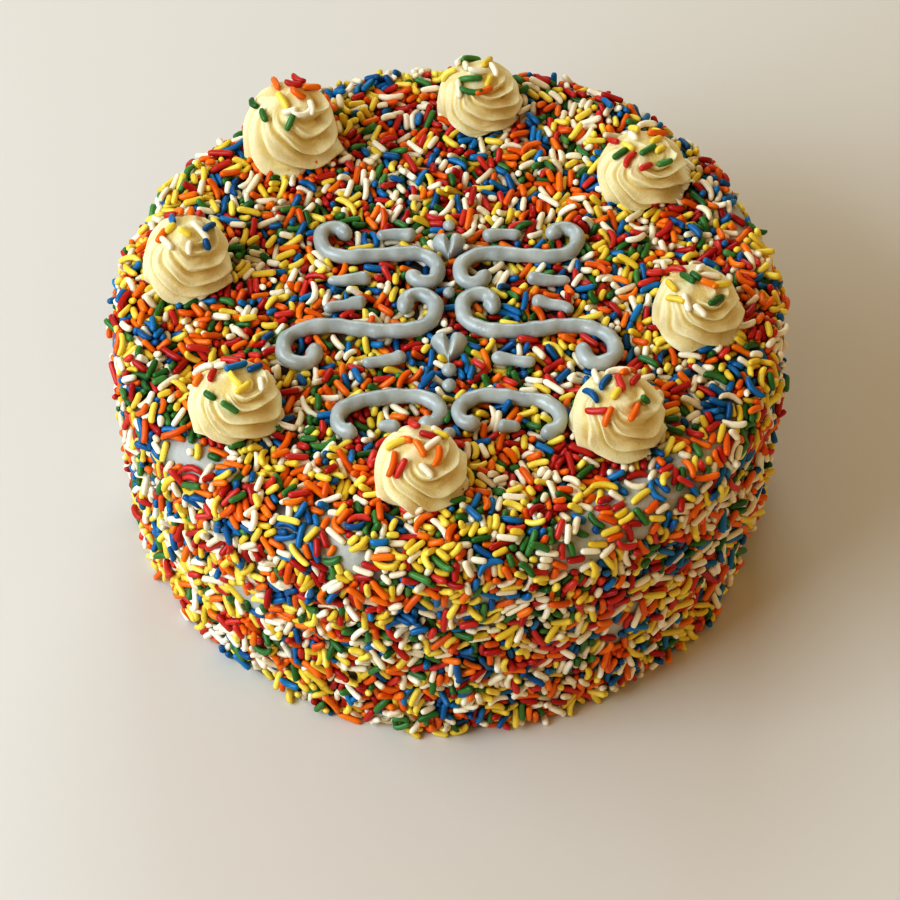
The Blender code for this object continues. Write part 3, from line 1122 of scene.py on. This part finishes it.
    def build(self, cream: Material) -> None:
        """The swirl's skin on a grid, with its foot carried down and closed."""
        turn, rise = np.meshgrid(around(self.columns), np.linspace(0.0, 1.0, self.rows)[:-1])
        rings, crest = self.skin(turn, rise)
        down = np.array([self.x, self.y, self.foot - self.sunk])
        foot = rings[:1] * [1, 1, 0] + np.array([0, 0, down[2]])
        foot = down + (foot - down) * 0.94
        peak, _ = self.skin(np.zeros(1), np.ones(1))
        body = Shell(np.concatenate([foot, rings]), down, peak[0])
        triangles, quads = body.faces
        self.tree = BVHTree.FromPolygons(body.points.tolist(), triangles.tolist() + quads.tolist())
        crests = np.concatenate([[0.5], crest[0], crest.ravel(), [1.0]])
        node = f"rosette_{self.number}"
        body.piece(f"{node}_swirl", cream, "buttercream", node, crest=crests)

    def toppings(self, random: np.random.Generator, radius: float) -> tuple[Array, Array]:
        """Sprinkles dropped on the swirl, each at the one of a few places that is
        furthest from those already there. It is laid along a line over the skin: of
        the heights under it, the pair that carries its middle highest, one on either
        side, is what it rests on.

        Args:
            random: where the draws come from.
            radius: a sprinkle's radius.

        Returns:
            The two ends of each one's axis, and the way out of the swirl there.
        """
        shares = np.linspace(-1.0, 1.0, self.spans)
        centre = self.spans // 2
        mean, spread, least, most = self.lengths
        ends, ways = [], []
        laid = np.full((1, 2), 1.0)      # far from the swirl, to start with
        for _ in range(self.sprinkles):
            length = np.clip(random.normal(mean, spread), least, most)
            half = 0.5 * length * MM - 0.9 * radius
            way = random.uniform(0.0, TAU, self.tries)
            out = random.uniform(0.0, 1.0, self.tries)
            out = 0.5 * self.width * self.spread * np.sqrt(out)
            offset = out[:, None] * np.stack([np.cos(way), np.sin(way)], axis=1)
            tries = np.array([self.x, self.y]) + offset
            clear = np.linalg.norm(tries[:, None] - laid[None], axis=2).min(axis=1)
            x, y = tries[clear.argmax()]
            laid = np.concatenate([laid, [[x, y]]])
            heading = random.uniform(0.0, TAU)
            ahead = np.array([math.cos(heading), math.sin(heading), 0.0])
            spots = np.array([x, y, 0.0]) + half * shares[:, None] * ahead
            heights = np.array([self.height_at(*spot[:2]) for spot in spots])
            best, rest = -1.0, (0, self.spans - 1)
            for low, high in itertools.product(range(centre), range(centre + 1, self.spans)):
                span = shares[high] - shares[low]
                level = (heights[low] * shares[high] - heights[high] * shares[low]) / span
                if level > best:
                    best, rest = level, (low, high)
            slope = (heights[rest[1]] - heights[rest[0]]) / (shares[rest[1]] - shares[rest[0]])
            best = max(best, heights[centre])
            axis = half * ahead + np.array([0.0, 0.0, slope])
            axis *= half / np.linalg.norm(axis)
            middle = np.array([x, y, best])
            out_way = unit(middle - [self.x, self.y, self.foot])
            up = np.array([0.0, 0.0, 1.0]) + self.splay * out_way
            up = unit(up - axis * (up @ axis) / (axis @ axis))
            middle = middle + up * (self.perch * radius)
            ends.append((middle - axis, middle + axis))
            ways.append(up)
        return np.array(ends), np.array(ways)

    def height_at(self, x: float, y: float) -> float:
        """Height of the swirl's skin over a place, or of its foot where it has none."""
        above = Vector((x, y, self.foot + 2.0 * self.height))
        spot = self.tree.ray_cast(above, Vector((0.0, 0.0, -1.0)))[0]
        return spot.z if spot else self.foot


# ---- piped icing ------------------------------------------------------------------------
@dataclass(frozen=True)
class PipedLine:
    """A piped line of icing, as one of a mirrored pair: the right-hand one."""

    name: str
    middle: tuple
    turn: float                      # its heading at the middle, in degrees
    length: float
    first_curl: float                # turns that the first half winds through
    last_curl: float
    width: float
    tail: float = 1.0                # how thin the last end is, as a share of the width
    step: float = 0.35 * MM
    sides: int = 20
    curl_power: float = 1.4
    rise: float = 2.45 * MM          # half the height of its section
    lie: float = 1.45                # of its middle over the surface, in millimetres
    # slow waves: height, length of a radian in millimetres, and start in seeds
    tremor: tuple = ((0.16, 2.9, 1), (0.10, 1.3, 2))
    swells: tuple = ((0.05, 2.3, 3), (0.035, 0.95, 1))
    lifts: tuple = ((0.15, 3.1, 1),)
    # the fuller part near each end: how much, how far from it, and how long, in mm
    beads: tuple = ((0.09, 2.6, 2.0), (0.08, 2.4, 1.6))

    @staticmethod
    def of_mm(name: str, x: float, y: float, turn: float, length: float, first: float,
              last: float, width: float, tail: float = 1.0) -> "PipedLine":
        """A line from figures in millimetres.

        Args:
            name: of the line, without its side.
            x: of its middle.
            y: of its middle.
            turn: its heading at the middle, in degrees.
            length: from end to end.
            first: turns that the first half winds through.
            last: turns that the last half winds through.
            width: of its section.
            tail: how thin the last end is, as a share of the width.

        Returns:
            The right-hand line of the pair.
        """
        middle = (x * MM, y * MM)
        return PipedLine(name, middle, turn, length * MM, first, last, width * MM, tail)

    def path(self) -> Array:
        """Points of the line: its curvature is nought at the middle and grows towards
        each end as a power of the distance, so both ends curl up."""
        count = 2 * math.ceil(self.length / self.step / 2.0) + 1
        step = self.length / (count - 1)
        run = np.linspace(-1.0, 1.0, count)
        curl = np.where(run < 0.0, self.first_curl, self.last_curl) * TAU
        power = self.curl_power
        bend = curl * (power + 1.0) / (0.5 * self.length) * np.abs(run) ** power
        heading = np.concatenate([[0.0], np.cumsum(0.5 * (bend[1:] + bend[:-1]) * step)])
        heading += math.radians(self.turn) - heading[count // 2]
        along = 0.5 * (heading[1:] + heading[:-1])
        steps = step * np.stack([np.cos(along), np.sin(along)], axis=1)
        path = np.concatenate([[[0.0, 0.0]], np.cumsum(steps, axis=0)])
        return path - path[count // 2] + np.array(self.middle)

    @staticmethod
    def waves(run: Array, seed: float, waves: tuple, level: float) -> Array:
        """Slow waves along the line, added to a level.

        Args:
            run: distance from the line's first end.
            seed: makes each line its own.
            waves: each one's height, length of a radian, and start in seeds.
            level: what they rise and fall about.

        Returns:
            The sum, for each place.
        """
        for height, length, start in waves:
            level = level + height * np.sin(run / (length * MM) + start * seed)
        return level

    def build(self, side: int, top: float, icing: Material) -> None:
        """A round section carried along the line: the hand's tremor moves it, its
        width swells and shrinks in slow waves, and both ends are round.

        Args:
            side: 1 for the right-hand line, and -1 for its mirror image.
            top: the height of the surface that it lies on.
            icing: its material.
        """
        path = self.path() * np.array([side, 1.0])
        count = len(path)
        run = np.arange(count) * self.step
        seed = len(self.name) * 1.7 + side
        ahead = unit(np.gradient(path, axis=0))
        right = np.stack([ahead[:, 1], -ahead[:, 0]], axis=1)
        tremor = self.waves(run, seed, self.tremor, 0.0)
        path = path + right * (tremor * MM)[:, None]
        swell = self.waves(run, seed, self.swells, 1.0)
        for away, (more, place, length) in zip((run, run[-1] - run), self.beads):
            swell += more * np.exp(-(((away - place * MM) / (length * MM)) ** 2))
        swell *= np.linspace(1.0, self.tail, count)
        reach = 0.5 * self.width
        to_end = np.minimum(run / reach, (run[-1] - run) / (reach * self.tail))
        size = swell * np.sqrt(np.clip(1.0 - np.clip(1.0 - to_end, 0.0, 1.0) ** 2, 0.0, 1.0))
        turn = around(self.sides)
        across = reach * size[:, None] * np.cos(turn)
        rise = self.rise * size[:, None] * np.sin(turn)
        rise = rise + self.waves(run, seed, self.lifts, self.lie)[:, None] * MM
        flat = path[:, None] + right[:, None] * across[..., None]
        rings = np.concatenate([flat, (top + rise)[..., None]], axis=-1)[1:-1, ::-1]
        ends = [np.array([*path[i], top + self.lie * MM]) for i in (0, -1)]
        node = f"{self.name}_{'right' if side > 0 else 'left'}"
        Shell(rings, *ends).piece(f"{node}_line", icing, "icing", node)


@dataclass(frozen=True)
class PipedHeart:
    """A heart piped as two drops that meet in a point."""

    name: str
    columns: int = 96
    rows: int = 36
    crease: float = 0.50             # how deep it is, as a share of the height

    def build(self, top: float, icing: Material) -> None:
        """Rings of a heart-shaped outline, shrinking to the middle as they rise. The
        outline is the heart curve of 16 sines cubed across, and 13, -5, -2 and -1
        cosines of one to four times the angle along, which is 32 wide and reaches 17
        under its middle. The body is full nearly to its edge, as one less the cube of
        the distance, and a crease down the middle parts it into two drops.

        Args:
            top: the height of the surface that it lies on.
            icing: its material.
        """
        low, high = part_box(self.name)
        width, height = high.x - low.x, (high.z - low.z) * 1.02
        middle = np.array([0.5 * (low.x + high.x), low.y + 17.0 / 32.0 * width])
        angle = around(self.columns)
        across = 16.0 * np.sin(angle) ** 3
        along = 13.0 * np.cos(angle) - 5.0 * np.cos(2 * angle)
        along = along - 2.0 * np.cos(3 * angle) - np.cos(4 * angle)
        turn = np.linspace(-0.45, 0.5 * math.pi, self.rows)[:-1, None]
        spread = np.cos(turn)
        x, y = width / 32.0 * spread * across, width / 32.0 * spread * along
        full = (1.0 - spread**3) ** 0.45
        crease = 1.0 - self.crease * np.exp(-((x / (0.085 * width)) ** 2))
        z = height * np.where(turn > 0, full * crease, np.sin(turn))
        rings = np.stack([middle[0] + x, middle[1] + y, top + z], axis=-1)[:, ::-1]
        down = np.array([*middle, rings[0, 0, 2]])
        peak = np.array([*middle, top + height * (1.0 - self.crease)])
        Shell(rings, down, peak).piece(f"{self.name}_drop", icing, "icing", self.name)


@dataclass(frozen=True)
class PipedPearl:
    """A dot of icing with the soft point that lifting the bag leaves."""

    name: str
    columns: int = 40
    rows: int = 22
    lean: float = 0.10               # of its peak, in radii

    def build(self, top: float, icing: Material) -> None:
        """A ball pressed down at its foot, with a small peak that leans.

        Args:
            top: the height of the surface that it lies on.
            icing: its material.
        """
        low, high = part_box(self.name)
        middle = 0.5 * (low + high)
        radius, height = 0.5 * (high.y - low.y), high.z - low.z
        angle = around(self.columns)
        turn = np.linspace(-0.75, 0.5 * math.pi, self.rows)[:-1, None]
        out = radius * np.cos(turn) * (1.0 + 0.03 * np.sin(2 * angle + middle.y / MM))
        tip = np.exp(-((out / (0.22 * radius)) ** 2))
        z = 0.36 * height + 0.60 * height * np.sin(turn) + 0.07 * height * tip
        lean = self.lean * radius
        x = middle.x + out * np.cos(angle) + lean * tip
        y = middle.y + out * np.sin(angle)
        rings = np.stack([x, y, top + z], axis=-1)
        down = np.array([middle.x, middle.y, rings[0, 0, 2]])
        peak = np.array([middle.x + lean, middle.y, top + 1.03 * height])
        Shell(rings, down, peak).piece(f"{self.name}_dot", icing, "icing", self.name)


# Each swirl's ridges, turns, seam in degrees and phase, round the cake.
ROSETTES = (
    (6, 3.0, -36, 0.4),
    (5, 3.3, -20, 2.1),
    (6, 2.8, -30, 3.7),
    (5, 2.9, -36, 5.2),
    (7, 2.7, -38, 1.3),
    (6, 2.8, -36, 4.4),
    (6, 3.0, -26, 0.9),
    (5, 3.2, -30, 2.8),
)
HEARTS = ("heart_upper", "heart_middle")
PEARLS = tuple(f"pearl_{number}" for number in range(1, 6))
HEART_SPOTS = ((0.0, 0.0), (-0.22, 0.18), (0.22, 0.18))  # its drops, as shares of its width
PEARL_SPOTS = ((0.0, 0.0),)
ICING_MIDDLE = 1.3 * MM              # of piped icing, over the surface that it lies on
# The right-hand lines: middle x and y, heading, length, curl of each half, width, tail.
LINES = tuple(PipedLine.of_mm(*line) for line in (
    ("scroll_upper", 21.8, 14.9, -8, 71.5, -0.84, 0.84, 4.7),
    ("scroll_middle", 27.2, -15.2, 9, 92.5, 0.92, -0.92, 4.9),
    ("scroll_lower", 18.6, -42.2, 173, 55.5, 0.58, 0.66, 4.7),
    ("comma_upper_high", 16.6, 23.5, 4, 12.4, -0.05, -0.12, 4.6, 0.62),
    ("comma_upper_low", 30.8, 4.4, -8, 13.4, 0.05, 0.14, 4.4, 0.62),
    ("comma_middle_high", 32.0, -5.4, -12, 13.4, -0.06, -0.16, 4.6, 0.62),
    ("comma_middle_low", 19.6, -27.9, -8, 13.4, 0.14, 0.05, 4.6, 0.62),
    ("comma_lower", 17.9, -53.4, -4, 6.8, 0.04, 0.10, 4.2, 0.7),
))


def icing_paths(top: float) -> list[Array]:
    """Points along the middle of every piped line, heart and pearl.

    Args:
        top: the height of the surface that they lie on.

    Returns:
        One array of points for each.
    """
    flats = [line.path()[::4] * np.array([side, 1.0]) for line in LINES for side in (1, -1)]
    for name in HEARTS + PEARLS:
        low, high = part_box(name)
        spots = HEART_SPOTS if name in HEARTS else PEARL_SPOTS
        middle = 0.5 * np.array([low.x + high.x, low.y + high.y])
        flats.append(middle + np.array(spots) * (high.x - low.x))
    return [np.column_stack([flat, np.full(len(flat), top + ICING_MIDDLE)]) for flat in flats]


# ---- the studio ------------------------------------------------------------------------
def stand(name: str, data: bpy.types.ID, place: Vector, aim: Vector) -> Piece:
    """A light or a camera at a place, turned to an aim point.

    Args:
        name: of the object.
        data: the light or the camera.
        place: where it stands.
        aim: the point that it looks at.

    Returns:
        The object, in the scene.
    """
    made = bpy.data.objects.new(name, data)
    bpy.context.scene.collection.objects.link(made)
    made.location = place
    made.rotation_mode = "QUATERNION"
    made.rotation_quaternion = (aim - place).to_track_quat("-Z", "Y")
    return made


@dataclass(frozen=True)
class Lamp:
    """A square area light aimed at the cake."""

    name: str
    place: tuple
    size: float
    watts: float
    colour: tuple
    aim: tuple = (0.0, 0.0, 0.04)

    def build(self) -> None:
        """Adds the light and stands it in its place."""
        light = bpy.data.lights.new(self.name, "AREA")
        light.energy, light.size, light.color = self.watts, self.size, self.colour
        stand(self.name, light, Vector(self.place), Vector(self.aim))


# Two panes of a window at the left, and a weak fill behind.
LAMPS = (
    Lamp("pane_front", (-0.98, -0.50, 0.85), 0.8, 13.0, (0.66, 0.83, 1.0)),
    Lamp("pane_back", (-1.10, 0.15, 0.85), 0.8, 3.9, (0.66, 0.83, 1.0)),
    Lamp("back", (0.0, 1.27, 0.80), 0.6, 4.8, (0.62, 0.86, 1.0)),
)


@dataclass(frozen=True)
class Studio:
    """A pale floor, soft window light from the upper left, and the camera."""

    distance: float = 1.05
    elevation: float = 52.2
    lens: float = 126.7
    aim: tuple = (0.0003, 0.0070, 0.0055)
    floor_size: float = 12.0
    sky: tuple = rgb(1.0, 0.73, 0.39)
    sky_strength: float = 0.39

    def floor(self) -> None:
        """A flat sheet at the height of the cake's base."""
        bpy.ops.mesh.primitive_plane_add(size=self.floor_size, location=(0, 0, 0))
        sheet = bpy.context.object
        sheet.name = "floor"
        sheet.data.materials.append(Floor().material)

    def room(self) -> None:
        """The warm, even light of the room."""
        world = bpy.data.worlds.new("sky")
        bpy.context.scene.world = world
        world.use_nodes = True
        sky = world.node_tree.nodes["Background"]
        sky.inputs["Color"].default_value = self.sky
        sky.inputs["Strength"].default_value = self.sky_strength

    def camera(self) -> None:
        """Stands at a distance and an elevation, and looks at the aim point."""
        rise = math.radians(self.elevation)
        lens = bpy.data.cameras.new("camera")
        lens.lens = self.lens
        place = Vector((0.0, -math.cos(rise), math.sin(rise))) * self.distance
        bpy.context.scene.camera = stand("camera", lens, place, Vector(self.aim))

    def build(self) -> None:
        """Sets up everything that isn't the cake."""
        self.floor()
        for lamp in LAMPS:
            lamp.build()
        self.room()
        self.camera()
        view = bpy.context.scene.view_settings
        view.view_transform = "Standard"
        view.look = "High Contrast"


def main() -> None:
    """Builds the studio, and then the cake from the frosting outwards."""
    logging.basicConfig(level=logging.INFO, format="%(name)s %(message)s")
    Studio().build()
    cream, icing = Buttercream().material, Icing().material
    shape = CakeShape.of_node("cake")
    FrostedBody(shape).build()
    rosettes = [Rosette(number, *form) for number, form in enumerate(ROSETTES, start=1)]
    for rosette in rosettes:
        rosette.build(cream)
    SprinkleCoat(shape, rosettes, icing_paths(shape.height)).build()
    for line in LINES:
        for side in (1, -1):
            line.build(side, shape.height, icing)
    for name in HEARTS:
        PipedHeart(name).build(shape.height, icing)
    for name in PEARLS:
        PipedPearl(name).build(shape.height, icing)


if __name__ == "__main__":
    main()
